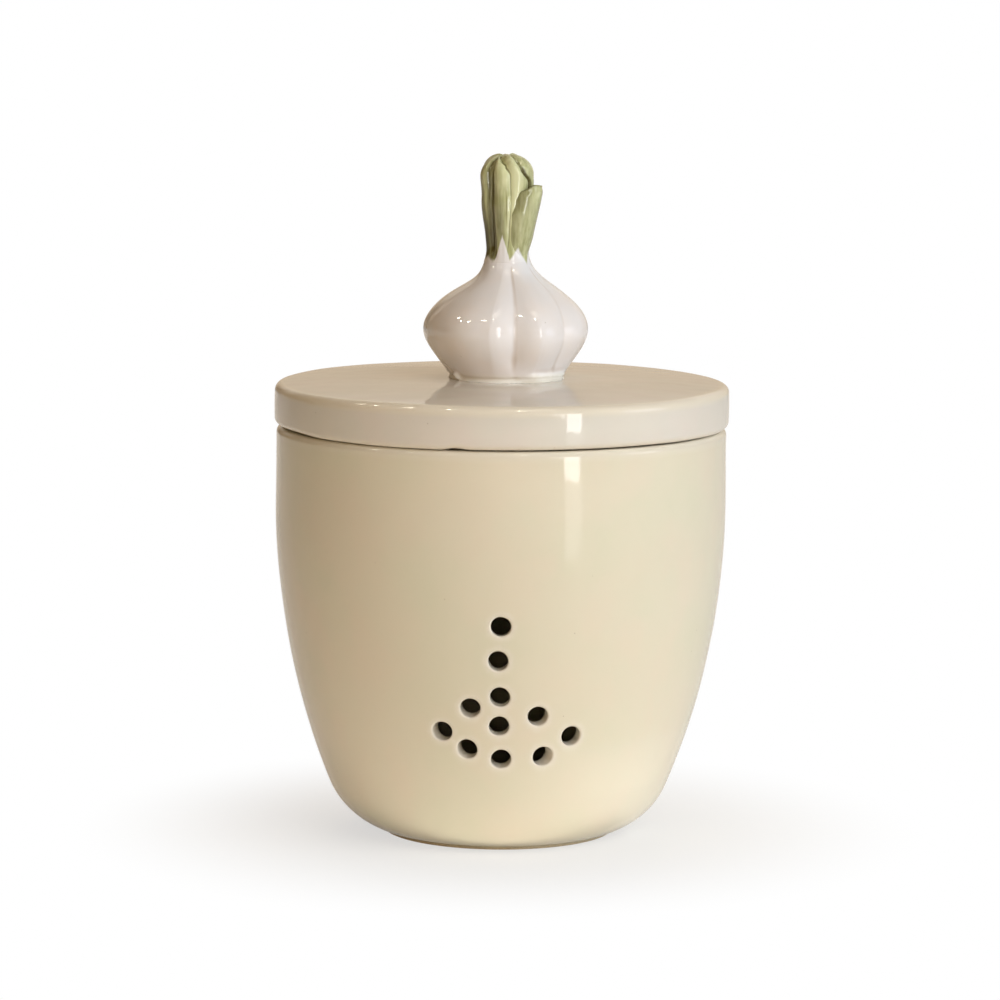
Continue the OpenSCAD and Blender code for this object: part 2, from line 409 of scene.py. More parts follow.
ivory_glaze = glazed_earthenware(
    "ivory_glazed_earthenware",
    body="#E0D9C3", cool="#DCD8C0", warm="#E3D7C2", edge="#E7E0D2", pooled_and_shaded="#CBBE9B")
lid_glaze = glazed_earthenware(
    "pale_glazed_earthenware",
    body="#DDD7CC", cool="#DAD6CC", warm="#E0D5CC", edge="#EBE2D0", pooled_and_shaded="#CBBDA3")
# The knob's pooled colour is dark: it paints the glaze pooled in the grooves between the cloves, and also
# their painted shade
white_glaze = glazed_earthenware(
    "white_glazed_earthenware",
    body="#EEEBEC", cool="#EBECF0", warm="#F1E9E5", edge="#F8F6E8", pooled_and_shaded="#C2B1A0",
    green=("#A3A672", "#D6D8AC", "#544D27"))
biscuit = bare_biscuit("bare_earthenware_foot")


# ---------- jar ----------

COLUMNS = 288
JAR_LUMPS = ((36, 0.28, 0.0), (15, 0.06, 3.1))
# The part of the wall round the vents, which is triangulated between their rims: columns to each side of the
# front line, and lowest and highest edge
DRILLED_COLUMNS = 22
DRILLED_Z = (24.0, 74.5)
# Points round each vent
VENT_STEPS = 44


def wall_radius(z, top_r, belly_r, heel_r, low_z):
    """The wall's radius at height z: upright band, belly's arc, heel's arc"""
    taper = math.asin((BELLY_Z - heel_r - low_z) / (belly_r - heel_r))
    if z >= BELLY_Z:
        return top_r
    if z >= BELLY_Z - belly_r * math.sin(taper):
        return top_r - belly_r + math.sqrt(belly_r ** 2 - (BELLY_Z - z) ** 2)
    heel_x = top_r - belly_r + (belly_r - heel_r) * math.cos(taper)
    return heel_x + math.sqrt(max(heel_r ** 2 - (low_z + heel_r - z) ** 2, 0))


def outer_radius(z):
    return wall_radius(z, JAR_R, BELLY_R, HEEL_R, 0)


def inner_radius(z):
    return wall_radius(z, JAR_R - WALL, BELLY_R - WALL, HEEL_R - WALL, FLOOR_Z)


def wall_arcs(top_r, belly_r, heel_r, low_z, start, pitch):
    """The wall's section from the heel up to the belly's top, about one point to each pitch"""
    taper = math.degrees(math.asin((BELLY_Z - heel_r - low_z) / (belly_r - heel_r)))
    heel_x = top_r - belly_r + (belly_r - heel_r) * math.cos(math.radians(taper))
    heel_steps = round(heel_r * math.radians(-taper - start) / pitch)
    belly_steps = round(belly_r * math.radians(taper) / pitch)
    return (arc(heel_x, low_z + heel_r, heel_r, start, -taper, heel_steps)
            + arc(top_r - belly_r, BELLY_Z, belly_r, -taper, 0, belly_steps, first=1))


def jar_section():
    """From the middle of the underside out over the foot, up the wall, over the rim, and down inside"""
    foot_in = FOOT_R - FOOT_W
    fillet, edge, edge_in = 0.6, 0.4, 0.5
    under = [(0, FOOT_H)] + line((0, FOOT_H), (foot_in - 2 * fillet, FOOT_H), 14)
    under += arc(foot_in - fillet, FOOT_H - fillet, fillet, 90, 0, 4)
    foot = arc(foot_in + edge_in, edge_in, edge_in, 180, 270, 4)
    foot += line((foot_in + edge_in, 0), (FOOT_R - edge, 0), 5)
    foot += arc(FOOT_R - edge, edge, edge, -90, -10, 4, first=1)
    # The glaze ends in a small step between the foot and the heel
    foot += [(FOOT_R + 0.12, 0.62), (FOOT_R + 0.42, 0.84)]
    outside = wall_arcs(JAR_R, BELLY_R, HEEL_R, 0, HEEL_END, 1.5)
    in_r, out_z, in_z = JAR_R - WALL, RIM_Z - RIM_ROUND, RIM_Z - RIM_ROUND_IN
    rim = line((JAR_R, BELLY_Z), (JAR_R, out_z), 14)
    rim += arc(JAR_R - RIM_ROUND, out_z, RIM_ROUND, 0, 90, 9, first=1)
    rim += line((JAR_R - RIM_ROUND, RIM_Z), (in_r + RIM_ROUND_IN, RIM_Z), 2)
    rim += arc(in_r + RIM_ROUND_IN, in_z, RIM_ROUND_IN, 90, 180, 6, first=1)
    inside = line((in_r, in_z), (in_r, BELLY_Z + 2), 11)
    inside += wall_arcs(in_r, BELLY_R - WALL, HEEL_R - WALL, FLOOR_Z, -90, 2.0)[::-1]
    floor = line(inside[-1], (0, FLOOR_Z), 14)
    return under + foot + outside + rim + inside + floor


def vent_angle(vent):
    return math.degrees(vent[0] / JAR_R)


def vent_point(vent, radius, phi, radius_at, sink, way):
    """A point round a vent's bore, sunk below the wall whose radius at a height is radius_at(z). way goes
    from 0 on the outside of the wall to 1 on the inside."""
    across, up = radius * math.cos(phi), radius * math.sin(phi)
    z = VENTS_Z + vent[1] + way * vent[3] + up
    wall = math.sqrt(radius_at(z) ** 2 - across ** 2)
    angle = vent_angle(vent) + math.degrees(math.atan2(across + way * vent[2], wall - sink))
    return angle, math.hypot(wall - sink, across), z


def near_vent(angle, z, r):
    """Distance to the nearest vent's middle, on the outside or the inside of the wall"""
    way = 1 if r < outer_radius(z) - WALL / 2 else 0
    best = 99.0
    for vent in VENTS:
        across = r * math.sin(math.radians(turn(angle, vent_angle(vent)))) - way * vent[2]
        best = min(best, math.hypot(across, z - VENTS_Z - vent[1] - way * vent[3]))
    return best


def jar_clay(angle, r, z):
    """A point of the jar's skin with its hand-made unevenness, and its marks: the glaze runs thinner and
    paler on the rim and round the vents, which also paints the rim's highlight and light in the bores, and
    the ring that stands is bare"""
    ideal = around(angle, r, z)
    calm = smooth((z - 3) / 12) * smooth((RIM_Z - 1 - z) / 8)
    r += calm * lumps(ideal, JAR_LUMPS)
    # Paler on the rim: thinner glaze, and also a painted highlight line
    thin_and_lit = 0.75 * smooth((z - RIM_Z + 3.2) / 2.6)
    # Paler round each vent: thinner glaze on its rounded edge, and also a painted highlight there; the bore
    # is painted as pale as an edge, as painted light where it lies in shade
    if 20 < z < 78 and abs(turn(angle, 0)) < 32:
        away = near_vent(angle, z, r) - VENT_R
        thin_and_lit = max(thin_and_lit, smooth((VENT_EDGE + 0.5 - away) / 0.8), 0.25 * smooth((2.6 - away) / 2))
    stands = 1.0 if z < 0.7 and FOOT_R - FOOT_W - 0.2 < r < FOOT_R + 0.3 else 0.0
    return around(angle, r, z), thin_and_lit, 0.0, stands


def drilled_rows(section):
    """The first and last row of the section between which the wall is drilled, outside and inside"""
    low, high = DRILLED_Z
    top = max(range(len(section)), key=lambda i: section[i][1])
    rows = {"out": [], "in": []}
    for i, (r, z) in enumerate(section):
        if low < z < high and r > 40:
            rows["out" if i < top else "in"].append(i)
    return {side: (found[0], found[-1]) for side, found in rows.items()}


def wall_rings(skin, section, walls):
    """The rings of the whole jar. A point that would lie on a vent or its edge is left out, as None, and so
    are the faces of the drilled parts."""
    keep_off = VENT_R + VENT_EDGE + 0.55
    rings = []
    for i, (r, z) in enumerate(section):
        if r == 0:
            rings.append([skin.add((0, 0, z))])
            continue
        within = any(first < i < last for first, last in walls.values())
        ring = []
        for j in range(COLUMNS):
            angle = 360 * j / COLUMNS
            in_front = j < DRILLED_COLUMNS or j > COLUMNS - DRILLED_COLUMNS
            on_vent = within and in_front and near_vent(angle, z, r) < keep_off
            ring.append(None if on_vent else skin.add(*jar_clay(angle, r, z)))
        rings.append(ring)
    front = [j for j in range(COLUMNS) if j < DRILLED_COLUMNS or j >= COLUMNS - DRILLED_COLUMNS]
    for i, (a, b) in enumerate(zip(rings, rings[1:])):
        drilled = any(first <= i < last for first, last in walls.values())
        skin.bridge(a, b, front if drilled else ())
    return rings


def bore_spot(vent, radius, phi, where, sink):
    """Angle, radius and height of a point of a bore: on its rounded edge outside or inside, sunk by so much,
    or through the wall by this share"""
    if where == "out":
        return vent_point(vent, radius, phi, outer_radius, sink, 0)
    if where == "in":
        return vent_point(vent, radius, phi, inner_radius, sink, 1)
    outer = vent_point(vent, radius, phi, outer_radius, VENT_EDGE, 0)
    inner = vent_point(vent, radius, phi, inner_radius, -VENT_EDGE_IN, 1)
    return [mix(a, b, sink) for a, b in zip(outer, inner)]


def drill_vents(skin):
    """Adds the bores, each a little out of round: a rounded glazed edge, the way through the wall, and a
    rounded edge inside. Gives the rims on both sides, as points and as places on the unrolled wall."""
    turns = [math.radians(18 * k) for k in range(6)]
    profile = [("out", VENT_EDGE * (1 - math.sin(a)), VENT_EDGE * (1 - math.cos(a))) for a in turns]
    profile += [("through", 0.0, share) for share in (0.25, 0.5, 0.75)]
    profile += [("in", VENT_EDGE_IN * (1 - math.sin(a)), -VENT_EDGE_IN * (1 - math.cos(a)))
                for a in turns[::-2]]
    rims = {"out": [], "in": []}
    for vent in VENTS:
        phase = [rng.uniform(0, 2 * math.pi) for _ in range(2)]
        rings, places = [], []
        for where, wider, sink in profile:
            ring, flat = [], []
            for k in range(VENT_STEPS):
                phi = 2 * math.pi * k / VENT_STEPS
                hand = 1 + 0.016 * math.sin(2 * phi + phase[0]) + 0.008 * math.sin(3 * phi + phase[1])
                angle, r, z = bore_spot(vent, VENT_R * hand + wider, phi, where, sink)
                ring.append(skin.add(*jar_clay(angle, r, z)))
                flat.append((math.radians(turn(angle, 0)) * JAR_R, z))
            rings.append(ring)
            places.append(flat)
        skin.cover(rings)
        rims["out"].append((rings[0], places[0]))
        rims["in"].append((rings[-1], places[-1]))
    return rims


def close_wall(skin, section, rings, rows, rims, outward):
    """Triangulates a drilled part of the wall between the vents' rims, on the unrolled wall"""
    ids, flat, edges, rim_of = [], [], [], {}
    for number, (ring, places) in enumerate(rims):
        start = len(ids)
        ids += ring
        flat += places
        edges += [(start + k, start + (k + 1) % VENT_STEPS) for k in range(VENT_STEPS)]
        rim_of.update({start + k: number for k in range(VENT_STEPS)})
    for i in range(rows[0], rows[1] + 1):
        for j in range(-DRILLED_COLUMNS, DRILLED_COLUMNS + 1):
            point = rings[i][j % COLUMNS]
            if point is not None:
                ids.append(point)
                flat.append((2 * math.pi * j / COLUMNS * JAR_R, section[i][1]))
    made = delaunay_2d_cdt([Vector(p) for p in flat], edges, [], 0, 1e-5, True)
    origin = [origins[0] for origins in made[3]]
    for face in made[2]:
        corners = [origin[v] for v in face]
        holes = {rim_of.get(c) for c in corners}
        # A face whose corners all lie on one rim would close that vent
        if len(holes) == 1 and None not in holes:
            continue
        corners = [ids[c] for c in corners]
        skin.faces.append(corners if outward else corners[::-1])


def jar_skin():
    skin = Skin()
    section = jar_section()
    walls = drilled_rows(section)
    rings = wall_rings(skin, section, walls)
    rims = drill_vents(skin)
    for side, rows in walls.items():
        close_wall(skin, section, rings, rows, rims[side], side == "out")
    return skin


make_piece("jar_pot", jar_skin(), "jar", "jar", [ivory_glaze, biscuit], rounds=3)


# ---------- lid ----------

# The lid has warped a little in the kiln, so it touches the rim in places and leaves a dark line in others:
# angle, and how far it stands off the rim
LID_GAPS = ((-180, 0.1), (-130, 0.3), (-92, 0.55), (-64, 0.75), (-50, 0.34), (-30, 0.2), (-15, 0.24),
            (-11.5, 0.8), (-7.5, 0.4), (6, 0.44), (22, 0.5), (38, 0.55), (55, 0.45), (75, 0.22),
            (100, 0.3), (140, 0.02))
LID_SIDE_LUMPS = ((30, 0.3, 5.3), (12, 0.07, 1.7))
LID_TOP_LUMPS = ((34, 0.26, 8.2), (13, 0.05, 2.4))


def lid_section():
    """From the middle of the underside out, down round the flange, out to the side, and over the top"""
    side_low, side_high = RIM_Z + LID_ROUND_LOW, RIM_Z + LID_SIDE_H - LID_ROUND
    under_z = SEAT_Z - PLATE_T
    recess_r = FLANGE_R - FLANGE_T
    corner, tip, root = 2, 1, 0.7
    section = [(0, under_z)] + line((0, under_z), (recess_r - corner, under_z), 18)
    section += arc(recess_r - corner, under_z - corner, corner, 90, 0, 6, first=1)
    section += line((recess_r, under_z - corner), (recess_r, FLANGE_Z + tip), 8)
    section += arc(recess_r + tip, FLANGE_Z + tip, tip, 180, 270, 5, first=1)
    section += line((recess_r + tip, FLANGE_Z), (FLANGE_R - tip, FLANGE_Z), 2)
    section += arc(FLANGE_R - tip, FLANGE_Z + tip, tip, -90, 0, 5, first=1)
    section += line((FLANGE_R, FLANGE_Z + tip), (FLANGE_R, RIM_Z - root), 5)
    section += arc(FLANGE_R + root, RIM_Z - root, root, 180, 90, 4, first=1)
    section += line((FLANGE_R + root, RIM_Z), (LID_R - LID_ROUND_LOW, RIM_Z), 6)
    section += arc(LID_R - LID_ROUND_LOW, side_low, LID_ROUND_LOW, -90, 0, 9, first=1)
    section += line((LID_R, side_low), (LID_R, side_high), 8)
    section += arc(LID_R - LID_ROUND, side_high, LID_ROUND, 0, 90, 12, first=1)
    for i in range(31, -1, -1):
        t = i / 32
        section.append((mix(SEAT_R, LID_R - LID_ROUND, t), SEAT_Z - DOME_H * t * t))
    return section + line((SEAT_R, SEAT_Z), (0, SEAT_Z), 8)


def lid_clay(angle, r, z):
    """A point of the lid's skin with its unevenness and warp, and how much thinner and paler the glaze lies
    there
    """
    ideal = around(angle, r, z)
    side_mid = RIM_Z + LID_SIDE_H / 2
    on_side = smooth((r - LID_R + 6) / 5) * smooth((z - RIM_Z + 1) / 2)
    on_top = smooth((z - RIM_Z - LID_SIDE_H + 1.5) / 1.5) * smooth((r - 20) / 12)
    thin_and_lit = 0.8 * smooth((r - LID_R + 4.2) / 3.0) * smooth((z - RIM_Z - LID_SIDE_H + 3.4) / 2.2)
    thin_and_lit = max(thin_and_lit, 0.5 * smooth((RIM_Z + 1.8 - z) / 1.2) * smooth((r - LID_R + 3) / 2))
    # The side draws in towards both its edges
    draw = 0.16 * ((z - side_mid) / (LID_SIDE_H / 2)) ** 2
    r += on_side * (lumps(ideal, LID_SIDE_LUMPS) - draw - 0.12)
    z += on_top * lumps(ideal, LID_TOP_LUMPS)
    under = smooth((r - FLANGE_R - 0.2) / 0.8) * smooth((RIM_Z + 5 - z) / 4.5)
    z += under * read_curve(LID_GAPS, angle, 360)
    return around(angle, r, z), thin_and_lit


lid_skin = revolve(lid_section(), COLUMNS, lid_clay)
make_piece("lid_plate", lid_skin, "lid", "lid", [lid_glaze], rounds=3)


# ---------- garlic bulb ----------

# The grooves between the cloves: angle at the belly, turn on the way up, and depth of the soft valley and of
# its crease
CLOVE_GROOVES = ((-42, 14, 0.2, 0), (6.5, 3, 3.3, 0), (47, 13, 1.5, 0.15), (92, 16, 1.2, 0.1),
                 (125, 17, 1.9, 0.2), (162, 15, 1.6, 0.2), (201, 16, 2.0, 0.2), (238, 17, 1.4, 0.1),
                 (280, 16, 0.3, 0))
# The lower edge of the green paint round the neck: angle, and height above the neck
PAINT_LINE = ((-60, 1.6), (-35, 0.3), (-12.5, 7.7), (6, 0.7), (29, 4.1), (55, -0.3), (85, 5), (112, 0.2),
              (140, 6.5), (165, 0.5), (190, 4.5), (215, 0), (245, 6), (270, 0.4))
BULB_LUMPS = ((14, 0.5, 2.2), (5, 0.08, 6.0))
BULB_COLUMNS = 480


def painted(angle, h):
    """1 where the brush left green under the glaze, at height h above the neck"""
    a = (angle + 60) % 360 - 60
    points = list(PAINT_LINE) + [(PAINT_LINE[0][0] + 360, PAINT_LINE[0][1])]
    for (a0, h0), (a1, h1) in zip(points, points[1:]):
        if a <= a1:
            edge = mix(h0, h1, (a - a0) / (a1 - a0))
            break
    edge += 0.35 * noise.noise(Vector((a * 0.21, h * 0.5, 4.0)))
    return smooth((h - edge) / 1.2 + 0.5)


def clove_valley(angle, rise):
    """How deep the skin lies between the cloves. rise goes from 0 at the belly to 1 at the neck."""
    deepest = crease = 0.0
    for middle, winding, valley, line_depth in CLOVE_GROOVES:
        away = abs(turn(angle, middle + winding * rise))
        deepest = max(deepest, valley * clamp(1 - math.hypot(away, 2.4) / 19) ** 1.4)
        crease = max(crease, line_depth * math.exp(-(away / 2.0) ** 2))
    return deepest + crease


def slip_roll(angle):
    """1 at the right front, where slip was squeezed out in a roll as the bulb was stuck on"""
    a = turn(angle, 0)
    return smooth((a - 8) / 20) * smooth((78 - a) / 18) if 0 < a < 90 else 0.0


def bulb_place(angle, r, h):
    """The bulb's skin: cloves that wind up to the neck, a fuller clove and a slumped shoulder at the left,
    and at the foot a lip all round, the roll of slip, a small lump, and a fold beside it"""
    rise = smooth((h - BULB_BELLY_H) / (BULB_H - BULB_BELLY_H))
    fade = smooth((h + 0.5) / 8) * clamp((r - NECK_R) / (BULB_R - NECK_R)) ** 0.8
    ideal = around(angle, r, h)
    r += 0.8 * fade * hump(angle, -35, 15)
    r -= fade * clove_valley(angle, rise)
    r += fade * lumps(ideal, BULB_LUMPS)
    r -= 1.2 * hump(angle, -90, 38) * math.exp(-((h - 28) / 3.2) ** 2)
    lip = 0.5 + 0.35 * noise.noise(around(angle, 2.2, 1.0)) + 0.5 * hump(angle, 150, 40)
    r += lip * clamp(1 - h / 1.3) ** 1.6
    roll = slip_roll(angle)
    roll_r = 1.7 + 0.3 * noise.noise(Vector((angle * 0.12, 0, 3)))
    r += roll * roll_r * math.exp(-((h - 1.2) / 1.5) ** 2)
    lump = math.hypot(turn(angle, -55) * 0.29, (h - 1.3) * 1.1)
    r += 1.7 * math.exp(-(lump / 1.15) ** 2)
    fold = turn(angle, -62 - 3.2 * (h - 2))
    r -= 0.5 * math.exp(-(fold / 2.2) ** 2) * smooth((7 - h) / 3)
    point = around(angle, r, SEAT_Z + h)
    point.x += KNOB_X
    # The roll of slip is paler, and the foot all round is painted lighter, as painted light thrown up from
    # the lid
    thin_and_lit = max(0.6 * roll * smooth((3.6 - h) / 2.2), 0.5 * smooth((3.2 - h) / 2.6))
    return point, thin_and_lit, painted(angle, h - BULB_H)


def bulb_section():
    """From the middle of the foot out, over belly and shoulder, to the neck, which closes under the bundle"""
    base, belly = BULB_BASE_R, BULB_BELLY_H
    foot = ((0, 0.02), (0, 0.12), (0.02, 0.25), (0.04, 0.45), (0.07, 0.7), (0.12, 1.0), (0.17, 1.35))
    section = [(0, 0), (base - 1, 0)] + [(base + out, h) for out, h in foot]
    low = bezier(((base, 0), (base + 1, 0.25 * belly), (BULB_R, 0.63 * belly), (BULB_R, belly)), 40)
    section += [p for p in low if p[1] > 1.6]
    shoulder = (mix(NECK_R, BULB_R, 0.31), mix(belly, BULB_H, 0.7))
    below = (shoulder[0] + 5, shoulder[1] - 3.6)
    above = (shoulder[0] - 3.2, shoulder[1] + 2.3)
    section += bezier(((BULB_R, belly), (BULB_R, belly + 5.3), below, shoulder), 40)
    section += bezier((shoulder, above, (NECK_R + 0.9, BULB_H - 2.0), (NECK_R, BULB_H)), 24)
    cone = ((0.3, 0.4), (0.8, 0.9), (1.6, 1.5), (NECK_R, 1.6))
    return section + [(NECK_R - back, BULB_H + h) for back, h in cone]


def bulb_middle(h):
    return KNOB_X, 0, SEAT_Z + h


bulb_skin = revolve(bulb_section(), BULB_COLUMNS, bulb_place, bulb_middle)
bulb_piece = make_piece(
    "garlic_knob_bulb", bulb_skin, "garlic_bulb", "lid", [white_glaze],
    groove_size=3.0, rounds=16)


# ---------- leaf bundle ----------

# The clefts between the blades, from the neck up: height above the neck, angle, depth
CLEFTS = (
    ((0, -43, 0.3), (5, -45, 1.7), (15, -44, 2.3), (30, -37, 2.4)),
    ((0, -3, 0.1), (8, 5, 0.35), (17, 9, 0.5), (24, 8, 1.0), (27.5, -3, 1.4), (29, -14, 1.5),
     (30.2, -36, 1.5)),
    ((0, 34, 0.1), (10, 40, 0.4), (17, 64, 0.8), (22.4, 63, 1.4), (26, 38, 1.5), (28, 30, 1.5),
     (30, 26, 1.6)),
    ((0, 94, 0.2), (12, 96, 1.0), (30, 88, 1.6)),
    ((0, 136, 0.2), (12, 131, 1.2), (30, 126, 1.6)),
    ((0, 178, 0.2), (10, 180, 1.0), (30, 169, 1.6)),
    ((0, 219, 0.2), (12, 222, 1.3), (30, 214, 1.6)),
    ((0, 262, 0.2), (12, 260, 1.1), (30, 258, 1.5)),
)
# The cleft of the right front, which opens wide at the top
WIDE_CLEFT = CLEFTS[2]
# How high the blades' tips stand above the neck, by angle
TIPS = ((-68, 28.7), (-22, 29.7), (12, 30.7), (52, 29.6), (107, 29.2), (148, 30.3), (192, 29.4), (237, 29.9))
# The open fold beside the left front blade: height above the neck, angle, depth
FOLD = ((0, -38, 0.1), (4, -42, 0.8), (15, -43, 1.2), (25, -42, 1.4), (30, -47, 1.5))
# The middle of the blade that the brush left pale: height above the neck, angle
PALE_BLADE = ((0, 4), (8, 9), (17, 20), (30, 22))
# Painted light and shade on the green, and brush strokes: angle, reach round, height above the neck, reach
# up, shade. On the front the left side, which is turned from the light, is painted darker, partly a darker
# green and partly painted shade, and crowns and tips are painted lighter as painted highlights; the strokes
# on the back vary the green at random.
BRUSH_AND_PAINTED_LIGHT = ((-72, 28, 6, 10, 0.95), (-72, 26, 22, 7, 0.42), (-58, 4, 22, 6, -0.5), (-16, 15, 11, 9, 0.6),
           (-4, 9, 25, 4.5, -1.0), (-25, 9, 28, 2, -0.9), (84, 20, 26, 5, -0.8),
           (118, 14, 9, 8, 0.5), (150, 12, 20, 8, -0.5), (178, 10, 10, 12, 0.6), (205, 14, 22, 6, -0.5),
           (236, 14, 8, 9, 0.6), (262, 12, 18, 8, 0.35))
# How far the bundle leans to the left at its top, the radius of its waist, and its heights: how far its foot
# reaches into the bulb, and where its tips start to close and meet
LEAN = -0.35
WAIST_R = 6.05
BUNDLE_FOOT = -1.6
DOME_FROM = 24.8
DOME_TOP = 30.4
MEAN_TIP = 29.6
BUNDLE_COLUMNS = 400


def leaning(point, h):
    """The knob's place on the lid, and the bundle's lean to the left"""
    point.x += KNOB_X + LEAN * h / STALK_H
    return point


def bundle_girth(h):
    """The bundle's radius over its blades' crowns: waisted above the neck and swelling towards the tips"""
    foot = (NECK_R + 0.03 - WAIST_R) * math.exp(-max(h, 0) / 1.4)
    return WAIST_R + foot + 1.35 * smooth((h - 2) / 16) + 0.4 * smooth((h - 18) / 6)


def angle_at(rows, h):
    """The angle of a cleft or fold at height h above the neck"""
    return read_curve([row[:2] for row in rows], h)


def depth_at(rows, h):
    """Its depth there"""
    return read_curve([row[::2] for row in rows], h)


def pad(angle, clefts):
    """How far the skin lies below a blade's crown, and how near it is to the blade's edge, from -1 to 1.
    clefts are (angle, depth) pairs at this height."""
    for (left, left_depth), (right, right_depth) in zip(clefts, clefts[1:] + clefts[:1]):
        along, wide = (angle - left) % 360, (right - left) % 360
        if along < wide:
            u = 2 * along / wide - 1
            round_pad = 1 - math.sqrt(1 - min(abs(u), 0.99) ** 2)
            return (right_depth if u > 0 else left_depth) * mix(round_pad, abs(u) ** 1.7, 0.45), u
    return 0.0, 1.0


def bundle_shade(angle, h):
    """How light or dark the green is: brush strokes with painted light and shade, the pale blade, and painted
    shade in the fold and the wide cleft
    """
    shade = sum(depth * hump(angle, middle, reach) * math.exp(-((h - up) / tall) ** 2)
                for middle, reach, up, tall, depth in BRUSH_AND_PAINTED_LIGHT)
    shade -= hump(angle, read_curve(PALE_BLADE, h), 14) * smooth((h - 7) / 8)
    # Painted shade in the fold beside the left front blade
    shade += 0.42 * smooth((15 - abs(turn(angle, angle_at(FOLD, h)))) / 6) * smooth((h + 1) / 3)
    # Painted shade on the floor of the wide cleft at the right front
    shade += 0.95 * smooth((11 - abs(turn(angle, angle_at(WIDE_CLEFT, h)))) / 6) * smooth((h - 17) / 4)
    return clamp(shade, -1, 1)


def bundle_rows():
    """The way up the side and over the tips, which close like a bud: for each row the height, the share of
    the girth, and the direction that the skin faces"""
    side_rows, dome_rows = 88, 44
    rows = [(mix(BUNDLE_FOOT, DOME_FROM, i / side_rows), 1.0, 0.0) for i in range(side_rows + 1)]
    for i in range(1, dome_rows):
        a = math.radians(90 * i / dome_rows)
        rows.append((mix(DOME_FROM, DOME_TOP, math.sin(a)), math.cos(a) ** 0.8, a))
    return rows


def bundle_place(angle, row, clefts):
    """A point of the bundle in a row, and its marks. clefts are (angle, depth) pairs at the row's height."""
    height, share, facing = row
    sunk, u = pad(angle, clefts)
    fold = smooth((14 - abs(turn(angle, angle_at(FOLD, height)))) / 6.5)
    sunk = max(sunk, depth_at(FOLD, height) * fold)
    rib = 0.05 * noise.noise(Vector((angle * 0.16, height * 0.03, 7)))
    rib += 0.22 * noise.noise(Vector((angle * 0.035, height * 0.16, 1)))
    sunk = (sunk - rib) * smooth((height + 0.2) / 4) * math.sqrt(share)
    tip = read_curve(TIPS, angle, 360) - MEAN_TIP - 0.8 * abs(u) ** 3
    h = height + smooth((height - 20) / 7) * tip * share - sunk * math.sin(facing)
    h -= 0.6 * smooth((0.4 - share) / 0.4)
    r = (bundle_girth(height) - sunk * math.cos(facing)) * share
    return leaning(around(angle, r, NECK_Z + h), h), 0, painted(angle, h), 0, bundle_shade(angle, height)


def bundle_skin():
    skin = Skin()
    rings = []
    for row in bundle_rows():
        clefts = [(angle_at(cleft, row[0]), depth_at(cleft, row[0])) for cleft in CLEFTS]
        rings.append([skin.add(*bundle_place(360 * j / BUNDLE_COLUMNS, row, clefts))
                      for j in range(BUNDLE_COLUMNS)])
    rings.append([skin.add(leaning(Vector((0, 0, NECK_Z + DOME_TOP - 0.6)), DOME_TOP), 0, 1)])
    rings.insert(0, [skin.add((KNOB_X, 0, NECK_Z + BUNDLE_FOOT))])
    skin.cover(rings)
    return skin


bundle_piece = make_piece(
    "garlic_leaf_bundle", bundle_skin(), "stalk", "lid", [white_glaze],
    groove_size=0.9, rounds=5)


# ---------- side leaf ----------

def leaf_front_angle(h):
    """Where the leaf's front edge lies on the bundle, at height h above the neck"""
    return read_curve(((-1, -3), (8, 2.5), (13, 7), (17, 17), (21, 25)), h)


def leaf_place(u, s, side):
    """A point of the leaf: u from its front edge to its rear edge, s from its foot to its tip, and side
    from 0 on the bundle to 1 outside"""
    tip = read_curve(((0, 19.2), (0.12, 20.4), (0.36, 21.9), (0.55, 21.6), (0.7, 20.6), (1, 17.5)), u)
    h = mix(-1.2, tip, s)
    angle = mix(leaf_front_angle(h), 116, u)
    bulge = clamp(math.sin(math.pi * clamp(u))) ** (0.9 if u < 0.5 else 0.55)
    lean = 2.3 * s * s * bulge
    thick = mix(0.3, 1.75, bulge * smooth((h + 0.5) / 8))
    thick *= mix(1, 0.6, smooth((h - tip + 2) / 2)) * smooth((h + 1.2) / 3)
    r = bundle_girth(h) - 0.6 * smooth((h + 1) / 4) - 0.2 + lean + side * thick
    return angle, r, h


def leaf_shade(u, h):
    """Darker green along the front edge and under the tip, and a painted highlight at the tip's corner"""
    shade = 0.26 + 0.14 * math.exp(-((u - 0.1) / 0.13) ** 2)
    shade += 0.1 * smooth((h - 13) / 3) * smooth((0.5 - u) / 0.2)
    shade -= 1.1 * math.exp(-((u - 0.42) / 0.1) ** 2 - ((h - 19.5) / 2.2) ** 2)
    shade += 0.4 * math.exp(-((u - 0.72) / 0.1) ** 2)
    return clamp(shade, -1, 1)


def leaf_skin():
    """The leaf's section goes round its two edges, so they are rounded and not sharp"""
    steps, half = 70, 60
    skin = Skin()
    rings = []
    for i in range(steps + 1):
        ring = []
        for k in range(2 * half):
            phi = math.pi * k / half
            u = 0.5 - 0.5 * math.cos(phi)
            side = 0.5 + 0.5 * math.copysign(math.sqrt(abs(math.sin(phi))), math.sin(phi))
            angle, r, h = leaf_place(u, i / steps, side)
            point = leaning(around(angle, r, NECK_Z + h), h)
            ring.append(skin.add(point, 0, painted(angle, h), 0, leaf_shade(u, h)))
        rings.append(ring)
    for a, b in zip(rings, rings[1:]):
        skin.bridge(b, a)
    # The foot and the tip are closed by strips from face to face
    for ring, way in ((rings[0], 1), (rings[-1], -1)):
        for k in range(half):
            strip = [ring[k], ring[(k + 1) % len(ring)], ring[-k - 1], ring[-k % len(ring)]]
            skin.faces.append(list(dict.fromkeys(strip))[::way])
    return skin


leaf_piece = make_piece(
    "garlic_side_leaf", leaf_skin(), "side_leaf", "lid", [white_glaze],
    groove_size=0.8, rounds=5)


# ---------- camera ----------

# The photograph's camera: 1.3 m away, 7.5 degrees above the level, rolled 0.46 degrees
CAMERA_DISTANCE = 1300.0
CAMERA_TILT = math.radians(7.535)
CAMERA_ROLL = math.radians(0.455)
AIM = Vector((-0.23, 0, 94.49))
SENSOR = 36
FOCAL_LENGTH = 164.47

